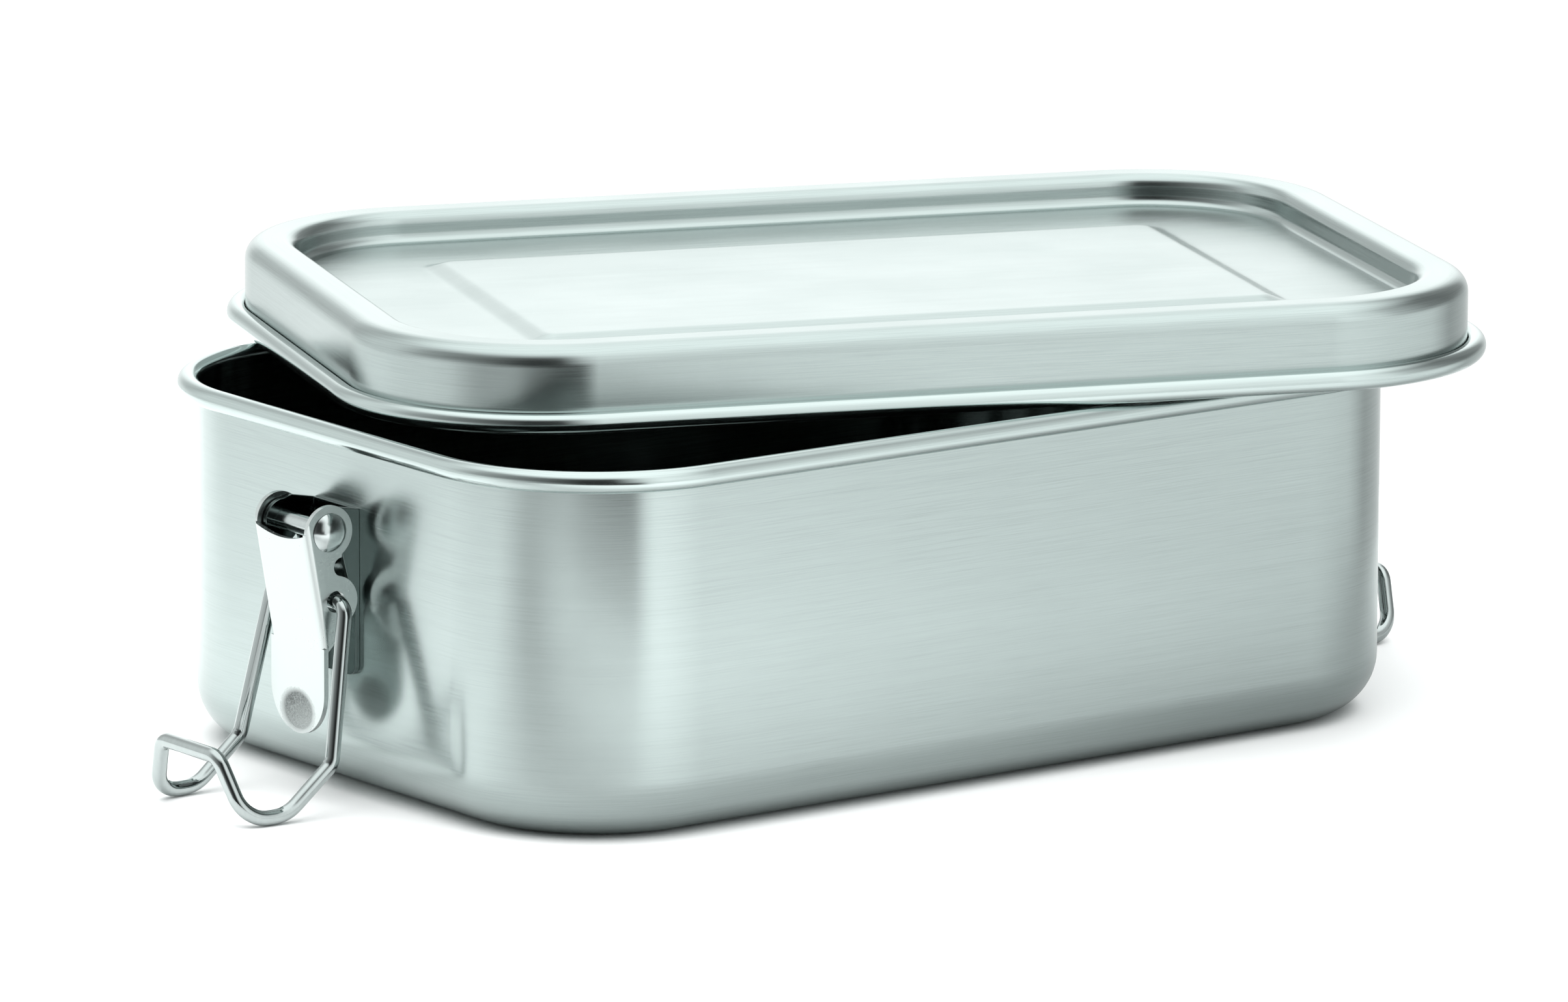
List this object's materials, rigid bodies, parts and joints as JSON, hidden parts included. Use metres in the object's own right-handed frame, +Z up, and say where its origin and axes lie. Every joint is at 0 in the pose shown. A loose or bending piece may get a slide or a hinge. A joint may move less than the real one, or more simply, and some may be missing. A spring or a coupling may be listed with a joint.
{
  "type": "lunch box",
  "caption": "Rounded-corner stainless steel lunch box with over-fitting sunk lid laid askew on its rim and a toggle latch with a wire bail on each end.",
  "frame": {"origin": "centre of the flat underside of the box", "axes": "+X along the long side, +Y towards the back long wall, +Z up"},
  "size_m": [0.2279, 0.161, 0.0702],
  "materials": {
    "brushed_sheet": "fine brushed grain running round the box",
    "latch_sheet": "satin, smooth",
    "polished_wire": "polished",
    "silicone": "matt, translucent white"
  },
  "bodies": {
    "box": {"box_shell": "brushed_sheet", "bracket_left": "latch_sheet", "bracket_right": "latch_sheet", "rivet_left": "polished_wire", "rivet_right": "polished_wire"},
    "lid": {"lid_shell": "brushed_sheet", "lid_seal": "silicone"},
    "lever_left": {"lever_left": "latch_sheet"},
    "lever_right": {"lever_right": "latch_sheet"},
    "bail_left": {"bail_left": "polished_wire"},
    "bail_right": {"bail_right": "polished_wire"}
  },
  "joints": [
    {"name": "lid_lift", "type": "slide", "parent": "box", "child": "lid", "axis": [0, 0, 1], "range_m": [0, 0.1]},
    {"name": "left_lever_hinge", "type": "hinge", "parent": "box", "child": "lever_left", "pos_m": [-0.0912, 0, 0.042], "axis": [0, 1, 0], "range_deg": [0, 90]},
    {"name": "left_bail_hinge", "type": "hinge", "parent": "lever_left", "child": "bail_left", "pos_m": [-0.0901, 0, 0.0313], "axis": [0, 1, 0], "range_deg": [0, 70]},
    {"name": "right_lever_hinge", "type": "hinge", "parent": "box", "child": "lever_right", "pos_m": [0.0912, 0, 0.042], "axis": [0, -1, 0], "range_deg": [0, 60]},
    {"name": "right_bail_hinge", "type": "hinge", "parent": "lever_right", "child": "bail_right", "pos_m": [0.0901, 0, 0.0313], "axis": [0, -1, 0], "range_deg": [0, 30]}
  ]
}
